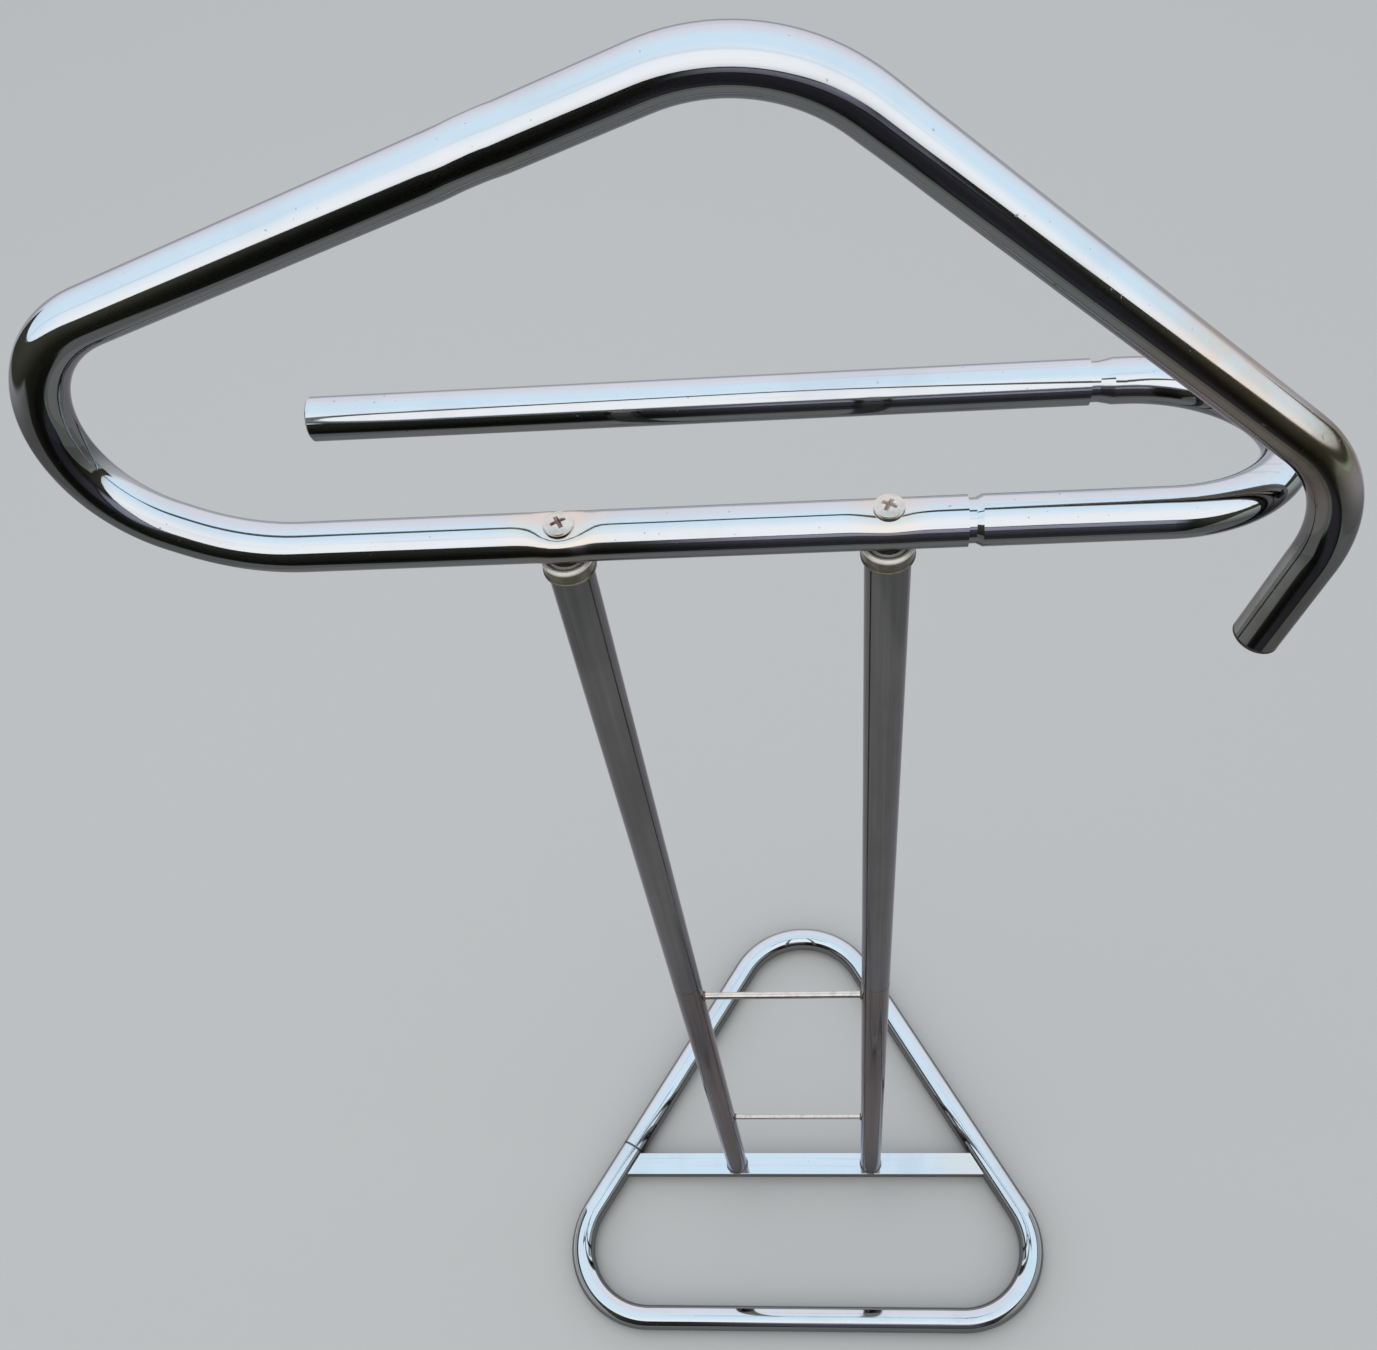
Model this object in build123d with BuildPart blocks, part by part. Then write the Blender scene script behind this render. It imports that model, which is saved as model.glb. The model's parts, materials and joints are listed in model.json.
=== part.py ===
"""Valet stand of bent chrome tube: a triangular floor loop, two posts and a coat hanger with a trouser bar.

Millimetres. +Z is up, +X is to the right of someone who faces the stand, +Y is to its back.
The origin is on the floor, midway between the posts.
"""

import os
from math import cos, radians, sin, sqrt

from build123d import *

# Tubes and rods
HANGER_TUBE_OD = 20.0
POST_TUBE_OD = 19.0
BASE_TUBE_OD = 22.0
TUBE_WALL = 1.2
UPPER_RUNG_DIAMETER = 5.0
LOWER_RUNG_DIAMETER = 4.0

# Floor loop: a triangle with rounded corners, its front bar level with the room
BASE_HALF_WIDTH = 257.0  # to the sharp corner of the centre line
BASE_DEPTH = 447.0  # from the front bar to the sharp rear corner
BASE_SETBACK = 141.0  # the front bar lies this far ahead of the posts
BASE_FRONT_BEND = 65.5
BASE_REAR_BEND = 68.0
BASE_SEAM_Y = 16.5  # where the loop's two ends meet on the left leg
SEAM_GAP = 0.3
BASE_SLEEVE_LENGTH = 60.0

# Crossbar: a flat rectangular tube between the two side legs
CROSSBAR_DEPTH = 21.0
CROSSBAR_HEIGHT = 10.0
CROSSBAR_EDGE = 1.0

# Posts: a lower and an upper length each, joined by a spigot
POST_SPACING = 128.0
LOWER_RUNG_HEIGHT = 165.0
UPPER_RUNG_HEIGHT = 445.0
SEAM_ABOVE_RUNG = 26.0  # from the upper rung to the posts' butt joint
POST_SPIGOT_LENGTH = 70.0

# Hanger: corners of its centre line, as (x, height above the front bar), in a plane that leans back
BAR_HEIGHT = 925.5
HANGER_LEAN = 6.0
LOWER_LEFT_CORNER = (-191.5, 0.0)
TOP_LEFT_CORNER = (-320.0, 71.0)
PEAK = (26.5, 187.5)
RIGHT_CORNER = (239.5, 9.0)
HANGER_END = (217.5, -69.5)
HANGER_BENDS = [89.0, 52.0, 69.0, 58.0]
SOCKET_X = 94.0  # right end of the front bar

# Trouser bar: parallel to the front bar, behind and below it, on a half-round bend
TROUSER_DROP = 17.0
TROUSER_SPACING = 109.5
TROUSER_REACH = 225.0  # outermost point of the bend's centre line
TROUSER_SEAM_X = 155.5
TROUSER_END_X = -193.5
SPIGOT_LENGTH = 22.0
FRONT_NECK = 3.0  # length of the swaged end that stays in sight
FRONT_SHOULDER = 2.5
REAR_NECK = 4.0
REAR_SHOULDER = 6.0

# Caps on the posts, and the screws that hold the front bar to them
CAP_SKIRT_WALL = 1.1
CAP_SKIRT_LENGTH = 8.0
CAP_BEAD = 0.35
CAP_BEAD_HEIGHT = 1.4
CAP_PLATE = 3.0
CAP_INSERT_LENGTH = 16.0
CAP_RIM_ROUND = 0.8
CAP_RECESS_RADIUS = 7.0
CAP_RECESS_DEPTH = 1.8
CAP_GROOVE_WIDTH = 0.7
CAP_GROOVE_DEPTH = 0.4
SCREW_DIAMETER = 6.0
SCREW_HEAD_DIAMETER = 12.0
SCREW_HEAD_HEIGHT = 3.4
SCREW_CROWN = 1.2  # how far the head's top is domed
SCREW_REACH = 14.0  # length of shank inside the cap
CROSS_SLOT_WIDTH = 1.6
CROSS_SLOT_LENGTH = 6.0
CROSS_SLOT_DEPTH = 2.2
DIMPLE_RADIUS = 20.0
DIMPLE_DEPTHS = {"left": 2.2, "right": 1.0}

# Plugs in the two open tube ends
PLUG_LENGTH = 14.0
PLUG_WALL = 1.5
PLUG_FLANGE = 2.0
PLUG_EDGE = 0.8

# Clearances, on the radius
SLIDE_FIT = 0.1
HOLE_CLEARANCE = 0.2
THREAD_CLEARANCE = 0.05

HANGER_RADIUS = HANGER_TUBE_OD / 2
POST_RADIUS = POST_TUBE_OD / 2
BASE_RADIUS = BASE_TUBE_OD / 2
CROSSBAR_TOP = BASE_RADIUS + CROSSBAR_HEIGHT / 2
CAP_TOP = BAR_HEIGHT - HANGER_RADIUS
POST_TOP = CAP_TOP - CAP_PLATE
POST_SEAM_HEIGHT = UPPER_RUNG_HEIGHT + SEAM_ABOVE_RUNG
POST_X = {"left": -POST_SPACING / 2, "right": POST_SPACING / 2}

LEAN = radians(HANGER_LEAN)
DROP = radians(TROUSER_DROP)
HANGER_PLANE = Plane(origin=(0, 0, BAR_HEIGHT), x_dir=(1, 0, 0), z_dir=(0, -cos(LEAN), sin(LEAN)))
TROUSER_PLANE = Plane(origin=(0, 0, BAR_HEIGHT), x_dir=(1, 0, 0), z_dir=(0, sin(DROP), cos(DROP)))


def disc(outer, inner=0.0):
    """Draw a disc, or a ring, in the current sketch."""
    Circle(outer)
    if inner:
        Circle(inner, mode=Mode.SUBTRACT)


def sweep_round(route, outer, inner=0.0):
    """Sweep a rod, or a tube, along a line of the current part."""
    with BuildSketch(Plane(origin=route @ 0, z_dir=route % 0)) as section:
        disc(outer, inner)
    sweep(section.sketch, path=route)


def sweep_tube(route, outer):
    sweep_round(route, outer, outer - TUBE_WALL)


def upright_tube(x, bottom, top, outer, inner):
    """Stand a tube on end over (x, 0)."""
    with BuildSketch(Plane(origin=(x, 0, bottom))) as section:
        disc(outer, inner)
    extrude(section.sketch, amount=top - bottom)


def turn(plane, *points):
    """Revolve an outline of (radius, height) points about the plane's normal."""
    with BuildSketch(Plane(origin=plane.origin, x_dir=plane.x_dir, z_dir=-plane.y_dir)) as outline:
        with BuildLine():
            Polyline(*points, close=True)
        make_face()
    revolve(outline.sketch, axis=Axis(plane.origin, plane.z_dir))


def swaged_end(plane, neck, shoulder):
    """Narrow a tube end so that it slides into the next tube, which it meets at the plane."""
    narrow = HANGER_RADIUS - TUBE_WALL - SLIDE_FIT
    turn(
        plane,
        (narrow - TUBE_WALL, -SPIGOT_LENGTH),
        (narrow, -SPIGOT_LENGTH),
        (narrow, neck),
        (HANGER_RADIUS, neck + shoulder),
        (HANGER_RADIUS - TUBE_WALL, neck + shoulder),
        (narrow - TUBE_WALL, neck),
    )


def tube_plug(plane):
    """Close the tube that ends at the plane with a flanged cup."""
    fit = HANGER_RADIUS - TUBE_WALL - SLIDE_FIT
    turn(
        plane,
        (0, 0),
        (fit - PLUG_WALL, 0),
        (fit - PLUG_WALL, -PLUG_LENGTH),
        (fit, -PLUG_LENGTH),
        (fit, 0),
        (HANGER_RADIUS, 0),
        (HANGER_RADIUS, PLUG_FLANGE - PLUG_EDGE),
        (HANGER_RADIUS - PLUG_EDGE, PLUG_FLANGE),
        (0, PLUG_FLANGE),
    )


os.makedirs("parts", exist_ok=True)

# Floor loop
front_left = Vector(-BASE_HALF_WIDTH, -BASE_SETBACK, BASE_RADIUS)
front_right = Vector(BASE_HALF_WIDTH, -BASE_SETBACK, BASE_RADIUS)
rear = Vector(0, BASE_DEPTH - BASE_SETBACK, BASE_RADIUS)
leg = (rear - front_left).normalized()
seam = front_left + leg * ((BASE_SEAM_Y + BASE_SETBACK) / leg.Y)

with BuildLine() as loop_route:
    FilletPolyline(
        seam - leg * (SEAM_GAP / 2),
        front_left,
        front_right,
        rear,
        seam + leg * (SEAM_GAP / 2),
        radius=[BASE_FRONT_BEND, BASE_FRONT_BEND, BASE_REAR_BEND],
    )

with BuildPart() as base_loop:
    sweep_tube(loop_route.line, BASE_RADIUS)
base_loop.part.label = "base_loop"
export_step(base_loop.part, "parts/base_loop.step")

with BuildPart() as base_joint_sleeve:
    with BuildLine() as sleeve_route:
        Line(seam - leg * (BASE_SLEEVE_LENGTH / 2), seam + leg * (BASE_SLEEVE_LENGTH / 2))
    sweep_tube(sleeve_route.line, BASE_RADIUS - TUBE_WALL - SLIDE_FIT)
base_joint_sleeve.part.label = "base_joint_sleeve"
export_step(base_joint_sleeve.part, "parts/base_joint_sleeve.step")

# Crossbar, its ends cut to the round of the two legs
with BuildPart() as base_envelope:
    sweep_round(loop_route.line, BASE_RADIUS)
    sweep_round(sleeve_route.line, BASE_RADIUS)

with BuildPart() as crossbar:
    leg_x = BASE_HALF_WIDTH * (1 - BASE_SETBACK / BASE_DEPTH)
    with BuildSketch(Plane(origin=(-leg_x, 0, BASE_RADIUS), x_dir=(0, 1, 0), z_dir=(1, 0, 0))):
        RectangleRounded(CROSSBAR_DEPTH, CROSSBAR_HEIGHT, CROSSBAR_EDGE)
        Rectangle(CROSSBAR_DEPTH - 2 * TUBE_WALL, CROSSBAR_HEIGHT - 2 * TUBE_WALL, mode=Mode.SUBTRACT)
    extrude(amount=2 * leg_x)
    add(base_envelope.part, mode=Mode.SUBTRACT)
crossbar.part.label = "crossbar"
export_step(crossbar.part, "parts/crossbar.step")

# Posts and what joins their two lengths
for side, x in POST_X.items():
    with BuildPart() as lower_post:
        upright_tube(x, CROSSBAR_TOP, POST_SEAM_HEIGHT, POST_RADIUS, POST_RADIUS - TUBE_WALL)
    lower_post.part.label = f"{side}_lower_post"
    export_step(lower_post.part, f"parts/{side}_lower_post.step")

    with BuildPart() as upper_post:
        upright_tube(x, POST_SEAM_HEIGHT + SEAM_GAP, POST_TOP, POST_RADIUS, POST_RADIUS - TUBE_WALL)
    upper_post.part.label = f"{side}_upper_post"
    export_step(upper_post.part, f"parts/{side}_upper_post.step")

    with BuildPart() as post_spigot:
        fit = POST_RADIUS - TUBE_WALL - SLIDE_FIT
        bottom = POST_SEAM_HEIGHT - POST_SPIGOT_LENGTH / 2
        upright_tube(x, bottom, bottom + POST_SPIGOT_LENGTH, fit, fit - TUBE_WALL)
    post_spigot.part.label = f"{side}_post_spigot"
    export_step(post_spigot.part, f"parts/{side}_post_spigot.step")

# Rungs, saddled onto the posts
RUNGS = {
    "lower_rung": (LOWER_RUNG_HEIGHT, LOWER_RUNG_DIAMETER),
    "upper_rung": (UPPER_RUNG_HEIGHT, UPPER_RUNG_DIAMETER),
}
for name, (height, diameter) in RUNGS.items():
    with BuildPart() as rung:
        with BuildSketch(Plane(origin=(POST_X["left"], 0, height), z_dir=(1, 0, 0))):
            Circle(diameter / 2)
        extrude(amount=POST_SPACING)
        with Locations(*[(x, 0, height) for x in POST_X.values()]):
            Cylinder(POST_RADIUS, 2 * diameter, mode=Mode.SUBTRACT)
    rung.part.label = name
    export_step(rung.part, f"parts/{name}.step")

# Caps and screws
cap_radius = POST_RADIUS + SLIDE_FIT + CAP_SKIRT_WALL
cap_fit = POST_RADIUS - TUBE_WALL - SLIDE_FIT
cap_bore = SCREW_DIAMETER / 2 + THREAD_CLEARANCE
groove = CAP_RECESS_RADIUS + 2 * CAP_GROOVE_WIDTH
head_radius = SCREW_HEAD_DIAMETER / 2
head_seat_drop = DIMPLE_RADIUS - sqrt(DIMPLE_RADIUS**2 - head_radius**2)
crest = BAR_HEIGHT + HANGER_RADIUS

for side, x in POST_X.items():
    with BuildPart() as post_cap:
        turn(
            Plane(origin=(x, 0, CAP_TOP)),
            (cap_bore, -CAP_RECESS_DEPTH),
            (CAP_RECESS_RADIUS - CAP_GROOVE_WIDTH, -CAP_RECESS_DEPTH),
            (CAP_RECESS_RADIUS, 0),
            (groove, 0),
            (groove, -CAP_GROOVE_DEPTH),
            (groove + CAP_GROOVE_WIDTH, -CAP_GROOVE_DEPTH),
            (groove + CAP_GROOVE_WIDTH, 0),
            (cap_radius - CAP_RIM_ROUND, 0),
            (cap_radius, -CAP_RIM_ROUND),
            (cap_radius, CAP_BEAD_HEIGHT - CAP_SKIRT_LENGTH),
            (cap_radius + CAP_BEAD, CAP_BEAD_HEIGHT - CAP_SKIRT_LENGTH - CAP_BEAD),
            (cap_radius + CAP_BEAD, CAP_BEAD - CAP_SKIRT_LENGTH),
            (cap_radius, -CAP_SKIRT_LENGTH),
            (POST_RADIUS + SLIDE_FIT, -CAP_SKIRT_LENGTH),
            (POST_RADIUS + SLIDE_FIT, -CAP_PLATE),
            (cap_fit, -CAP_PLATE),
            (cap_fit, -CAP_PLATE - CAP_INSERT_LENGTH),
            (cap_bore, -CAP_PLATE - CAP_INSERT_LENGTH),
        )
    post_cap.part.label = f"{side}_post_cap"
    export_step(post_cap.part, f"parts/{side}_post_cap.step")

    with BuildPart() as hanger_screw:
        seat = Plane(origin=(x, 0, crest - DIMPLE_DEPTHS[side] + head_seat_drop))
        shoulder = SCREW_HEAD_HEIGHT - SCREW_CROWN
        with BuildSketch(Plane(origin=seat.origin, x_dir=seat.x_dir, z_dir=-seat.y_dir)):
            with BuildLine():
                Polyline((0, 0), (head_radius, 0), (head_radius, shoulder))
                ThreePointArc(
                    (head_radius, shoulder),
                    (head_radius * 0.75, shoulder + SCREW_CROWN * 0.65),
                    (0, SCREW_HEAD_HEIGHT),
                )
                Line((0, SCREW_HEAD_HEIGHT), (0, 0))
            make_face()
        revolve(axis=Axis(seat.origin, (0, 0, 1)))
        with BuildSketch(seat):
            Circle(SCREW_DIAMETER / 2)
        extrude(amount=CAP_TOP - SCREW_REACH - seat.origin.Z)
        with BuildSketch(seat.offset(SCREW_HEAD_HEIGHT)):
            Rectangle(CROSS_SLOT_LENGTH, CROSS_SLOT_WIDTH, rotation=45)
            Rectangle(CROSS_SLOT_WIDTH, CROSS_SLOT_LENGTH, rotation=45)
        extrude(amount=-CROSS_SLOT_DEPTH, mode=Mode.SUBTRACT)
    hanger_screw.part.label = f"{side}_hanger_screw"
    export_step(hanger_screw.part, f"parts/{side}_hanger_screw.step")

# Hanger: front bar, shoulders and short right end in one tube
with BuildLine(HANGER_PLANE) as hanger_route:
    FilletPolyline(
        (SOCKET_X, 0),
        LOWER_LEFT_CORNER,
        TOP_LEFT_CORNER,
        PEAK,
        RIGHT_CORNER,
        HANGER_END,
        radius=HANGER_BENDS,
    )

with BuildPart() as hanger_bore:
    sweep_round(hanger_route.line, HANGER_RADIUS - TUBE_WALL)
    for side, x in POST_X.items():
        with Locations((x, 0, crest - DIMPLE_DEPTHS[side] + DIMPLE_RADIUS)):
            Sphere(DIMPLE_RADIUS + TUBE_WALL, mode=Mode.SUBTRACT)

with BuildPart() as hanger_tube:
    sweep_round(hanger_route.line, HANGER_RADIUS)
    for side, x in POST_X.items():
        with Locations((x, 0, crest - DIMPLE_DEPTHS[side] + DIMPLE_RADIUS)):
            Sphere(DIMPLE_RADIUS, mode=Mode.SUBTRACT)
        with Locations((x, 0, BAR_HEIGHT)):
            Cylinder(SCREW_DIAMETER / 2 + HOLE_CLEARANCE, 2 * HANGER_TUBE_OD, mode=Mode.SUBTRACT)
    add(hanger_bore.part, mode=Mode.SUBTRACT)
hanger_tube.part.label = "hanger_tube"
export_step(hanger_tube.part, "parts/hanger_tube.step")

with BuildPart() as hanger_end_plug:
    tube_plug(Plane(origin=hanger_route.line @ 1, x_dir=HANGER_PLANE.z_dir, z_dir=hanger_route.line % 1))
hanger_end_plug.part.label = "hanger_end_plug"
export_step(hanger_end_plug.part, "parts/hanger_end_plug.step")

# Trouser bar and the bend that carries it
bend_radius = TROUSER_SPACING / 2
bend_centre = (TROUSER_REACH - bend_radius, bend_radius)
front_start = (SOCKET_X + FRONT_NECK + FRONT_SHOULDER, 0)
rear_end = (TROUSER_SEAM_X + REAR_NECK + REAR_SHOULDER, TROUSER_SPACING)

with BuildPart() as trouser_bend:
    with BuildLine(TROUSER_PLANE) as bend_route:
        Line(front_start, (bend_centre[0], 0))
        CenterArc(bend_centre, bend_radius, -90, 180)
        Line((bend_centre[0], TROUSER_SPACING), rear_end)
    sweep_tube(bend_route.line, HANGER_RADIUS)
    swaged_end(Plane(origin=(SOCKET_X, 0, BAR_HEIGHT), z_dir=(1, 0, 0)), FRONT_NECK, FRONT_SHOULDER)
    rear_axis = bend_route.line @ 1
    rear_seam = Plane(origin=(TROUSER_SEAM_X, rear_axis.Y, rear_axis.Z), z_dir=(1, 0, 0))
    swaged_end(rear_seam, REAR_NECK, REAR_SHOULDER)
trouser_bend.part.label = "trouser_bend"
export_step(trouser_bend.part, "parts/trouser_bend.step")

with BuildPart() as trouser_bar:
    with BuildLine() as bar_route:
        Line((TROUSER_END_X, rear_axis.Y, rear_axis.Z), (TROUSER_SEAM_X, rear_axis.Y, rear_axis.Z))
    sweep_tube(bar_route.line, HANGER_RADIUS)
trouser_bar.part.label = "trouser_bar"
export_step(trouser_bar.part, "parts/trouser_bar.step")

with BuildPart() as trouser_bar_end_plug:
    tube_plug(Plane(origin=bar_route.line @ 0, z_dir=(-1, 0, 0)))
trouser_bar_end_plug.part.label = "trouser_bar_end_plug"
export_step(trouser_bar_end_plug.part, "parts/trouser_bar_end_plug.step")
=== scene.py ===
"""Valet stand: bent tubes, hanger screws, welds, plated finishes and studio on the fixed CAD frame."""

import json
import math

import bmesh
import bpy
from bpy.props import FloatProperty, FloatVectorProperty, IntProperty, PointerProperty
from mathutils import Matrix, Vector

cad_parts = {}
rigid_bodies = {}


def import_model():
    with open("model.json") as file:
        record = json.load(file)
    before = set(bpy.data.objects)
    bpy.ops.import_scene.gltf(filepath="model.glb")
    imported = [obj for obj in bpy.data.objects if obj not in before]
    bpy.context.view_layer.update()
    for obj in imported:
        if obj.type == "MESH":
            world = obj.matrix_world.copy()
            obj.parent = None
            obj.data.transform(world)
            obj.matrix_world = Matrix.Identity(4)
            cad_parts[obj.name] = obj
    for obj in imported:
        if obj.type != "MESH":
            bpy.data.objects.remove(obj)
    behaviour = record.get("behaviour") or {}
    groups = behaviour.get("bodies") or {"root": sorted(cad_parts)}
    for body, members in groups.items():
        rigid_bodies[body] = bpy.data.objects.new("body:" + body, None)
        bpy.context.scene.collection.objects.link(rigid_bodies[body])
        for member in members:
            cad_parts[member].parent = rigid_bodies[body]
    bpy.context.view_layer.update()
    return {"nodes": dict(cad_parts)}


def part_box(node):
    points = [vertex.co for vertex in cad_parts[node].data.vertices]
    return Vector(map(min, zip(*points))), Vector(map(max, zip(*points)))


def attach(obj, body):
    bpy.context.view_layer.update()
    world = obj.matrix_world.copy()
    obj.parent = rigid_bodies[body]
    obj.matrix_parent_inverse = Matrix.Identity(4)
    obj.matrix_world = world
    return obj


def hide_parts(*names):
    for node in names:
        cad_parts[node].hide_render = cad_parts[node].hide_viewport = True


for leftover in list(bpy.data.objects):
    bpy.data.objects.remove(leftover)
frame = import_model()
NODES = frame["nodes"]

bl_info = {
    "name": "Valet Stand",
    "version": (1, 0, 0),
    "blender": (4, 5, 0),
    "location": "View3D > Sidebar > Valet Stand",
    "description": "Bends and plates the tubes, makes the screws and welds, and sets up the studio",
    "category": "Object",
}


# ---------------------------------------------------------------- measures taken from the frame


def middle(node):
    """Middle of a node's box."""
    low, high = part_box(node)
    return (low + high) / 2


def span(node):
    """Length of a node's box each way."""
    low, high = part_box(node)
    return high - low


TUBE_RADIUS = span("trouser_bar").z / 2
POST_RADIUS = span("left_lower_post").x / 2
LOOP_RADIUS = span("base_loop").z / 2
POST_X = middle("right_lower_post").x
BAR_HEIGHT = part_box("left_post_cap")[1].z + TUBE_RADIUS
BAR_CREST = BAR_HEIGHT + TUBE_RADIUS
BASE_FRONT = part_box("base_loop")[0].y + LOOP_RADIUS
RUNG_HEIGHTS = [middle(node).z for node in ("lower_rung", "upper_rung")]
POST_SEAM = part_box("left_lower_post")[1].z
CROSSBAR_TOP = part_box("crossbar")[1].z
SCREW_RADIUS = span("left_hanger_screw").x / 2
SCREW_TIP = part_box("left_hanger_screw")[0].z


# ---------------------------------------------------------------- routes of the bent tubes

HANGER_LEAN = math.radians(6)
LOOP_HALF_WIDTH = 0.257
LOOP_DEPTH = 0.447
LOOP_BENDS = [0.0655, 0.0655, 0.068]
LOOP_SEAM_Y = 0.0165
LOOP_SEAM_GAP = 0.0003
BEND_STEP = 3  # degrees of a bend between two rings


def hanger_point(x, height):
    """A point of the hanger's centre line, in its plane that leans back over the front bar."""
    return Vector((x, height * math.sin(HANGER_LEAN), BAR_HEIGHT + height * math.cos(HANGER_LEAN)))


HANGER_CORNERS = [
    hanger_point(0.094, 0.0),
    hanger_point(-0.1915, 0.0),
    hanger_point(-0.320, 0.071),
    hanger_point(0.0265, 0.1875),
    hanger_point(0.2395, 0.009),
    hanger_point(0.2175, -0.0695),
]
HANGER_BENDS = [0.089, 0.052, 0.069, 0.058]


# ---------------------------------------------------------------- fixed sizes of details and studio

WELD_SEAM_ANGLE = math.radians(56)  # of the hanger's weld line, round the tube
DENT_STROKES = ((1.0, 0.25), (0.6, 0.35), (0.25, 0.40))  # share of the reach, share of the depth
DENT_BULGE = 18  # stretch across the bar for each metre of a dent's depth
SHANK_RADIUS = 0.003
SCREW_HOLE_RADIUS = 0.0032
SEAT_SHARE = 0.92  # how far down into its dent a screw's head sits
FURTHER_TURN = math.radians(35)  # of the right screw's cross, past the left one's
DOME_RINGS = (0.97, 0.9, 0.8, 0.68, 0.54, 0.38, 0.2)
SLOT_TAPER = 0.42  # width of the cross recess at its bottom against its top
SLOT_CLEARANCE = 0.0006  # how far the recess cutter stands out of the head
BROKEN_EDGE = 0.00012
LUMP_SIZE = 0.0022
LUMP_SHARE = 0.8  # height of a weld's lumps against its bead's radius
SCREEN_RADIUS = 1.5
SCREEN_REAR = 0.7  # the screen ends this far behind the posts
MAT_RADIUS = 0.70  # inner edge of the screen's mat
MAT_FRONT = 0.75  # the mat is dark from this far ahead of the posts
FLOOR_SIZE = 40
FLOOR_GAP = 0.0002
LAMP_PLACE = Vector((-0.5, 0.5, 3.0))
LAMP_WIDTH = 2.2
SENSOR_WIDTH = 36  # millimetres
NEAREST_SEEN = 0.02


# ---------------------------------------------------------------- settings


class TubeSettings(bpy.types.PropertyGroup):
    """Wall, roundness and dents of the bent tubes."""

    wall: FloatProperty(
        name="Wall", description="Thickness of the tube wall", unit="LENGTH", subtype="DISTANCE",
        min=0.0005, max=0.003, default=0.0012)
    sides: IntProperty(
        name="Sides", description="Faces round a tube", min=16, max=128, default=64)
    left_dent: FloatProperty(
        name="Left dent", description="How deep the wall is pressed in under the left screw",
        unit="LENGTH", subtype="DISTANCE", min=0, max=0.006, default=0.0036)
    right_dent: FloatProperty(
        name="Right dent", description="How deep the wall is pressed in under the right screw",
        unit="LENGTH", subtype="DISTANCE", min=0, max=0.006, default=0.0012)
    dent_reach: FloatProperty(
        name="Dent reach", description="How far a dent runs out along the bar", unit="LENGTH",
        subtype="DISTANCE", min=0.004, max=0.05, default=0.010)


class PlatingSettings(bpy.types.PropertyGroup):
    """Colours and polish of the plated pieces."""

    chrome: FloatVectorProperty(
        name="Chrome", description="Reflection colour of the bright plating", subtype="COLOR",
        size=3, min=0, max=1, default=(0.86, 0.89, 0.93))
    # painted shade: the plated colour is multiplied by this where a tube faces down
    underside_shade: FloatVectorProperty(
        name="Dull underside", description="How far the plating is dulled where a tube faces down",
        subtype="COLOR", size=3, min=0, max=1, default=(0.245, 0.238, 0.225))
    post: FloatVectorProperty(
        name="Post plating", description="Reflection colour of the darker posts", subtype="COLOR",
        size=3, min=0, max=1, default=(0.165, 0.162, 0.156))
    post_foot: FloatVectorProperty(
        name="Post plating, low down", description="Browner colour of the posts below their joint",
        subtype="COLOR", size=3, min=0, max=1, default=(0.155, 0.136, 0.121))
    nickel: FloatVectorProperty(
        name="Fittings", description="Reflection colour of caps, screws and rungs", subtype="COLOR",
        size=3, min=0, max=1, default=(0.71, 0.655, 0.595))
    rust: FloatVectorProperty(
        name="Rust", description="Colour of the rust specks", subtype="COLOR",
        size=3, min=0, max=1, default=(0.20, 0.085, 0.04))
    edge: FloatVectorProperty(
        name="Edge tint", description="How far the plating keeps its shine at a glancing angle",
        subtype="COLOR", size=3, min=0, max=1, default=(0.70, 0.67, 0.71))
    polish: FloatProperty(
        name="Polish", description="Roughness of the cleanest chrome", subtype="FACTOR",
        min=0.01, max=1, default=0.045)


class ScrewSettings(bpy.types.PropertyGroup):
    """Shape of the two pan-head screws."""

    head: FloatProperty(
        name="Head", description="Height of the head", unit="LENGTH", subtype="DISTANCE",
        min=0.001, max=0.006, default=0.0026)
    crown: FloatProperty(
        name="Crown", description="How far the head's top is domed", unit="LENGTH", subtype="DISTANCE",
        min=0.0002, max=0.003, default=0.0011)
    recess_depth: FloatProperty(
        name="Recess depth", description="Depth of the cross recess", unit="LENGTH", subtype="DISTANCE",
        min=0.0005, max=0.003, default=0.0019)
    recess_length: FloatProperty(
        name="Recess length", description="Length of each slot of the cross", unit="LENGTH",
        subtype="DISTANCE", min=0.002, max=0.010, default=0.0090)
    recess_width: FloatProperty(
        name="Recess width", description="Width of each slot of the cross", unit="LENGTH",
        subtype="DISTANCE", min=0.0005, max=0.003, default=0.0022)
    turn: FloatProperty(
        name="Turn", description="How far the left screw's cross is turned", unit="ROTATION",
        subtype="ANGLE", default=math.radians(28))


class WeldSettings(bpy.types.PropertyGroup):
    """Weld beads at the rungs and at the posts' feet."""

    rung_bead: FloatProperty(
        name="Rung bead", description="Radius of the bead round a rung's end", unit="LENGTH",
        subtype="DISTANCE", min=0.0003, max=0.003, default=0.0011)
    foot_bead: FloatProperty(
        name="Foot bead", description="Radius of the bead round a post's foot", unit="LENGTH",
        subtype="DISTANCE", min=0.0003, max=0.003, default=0.0009)


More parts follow.
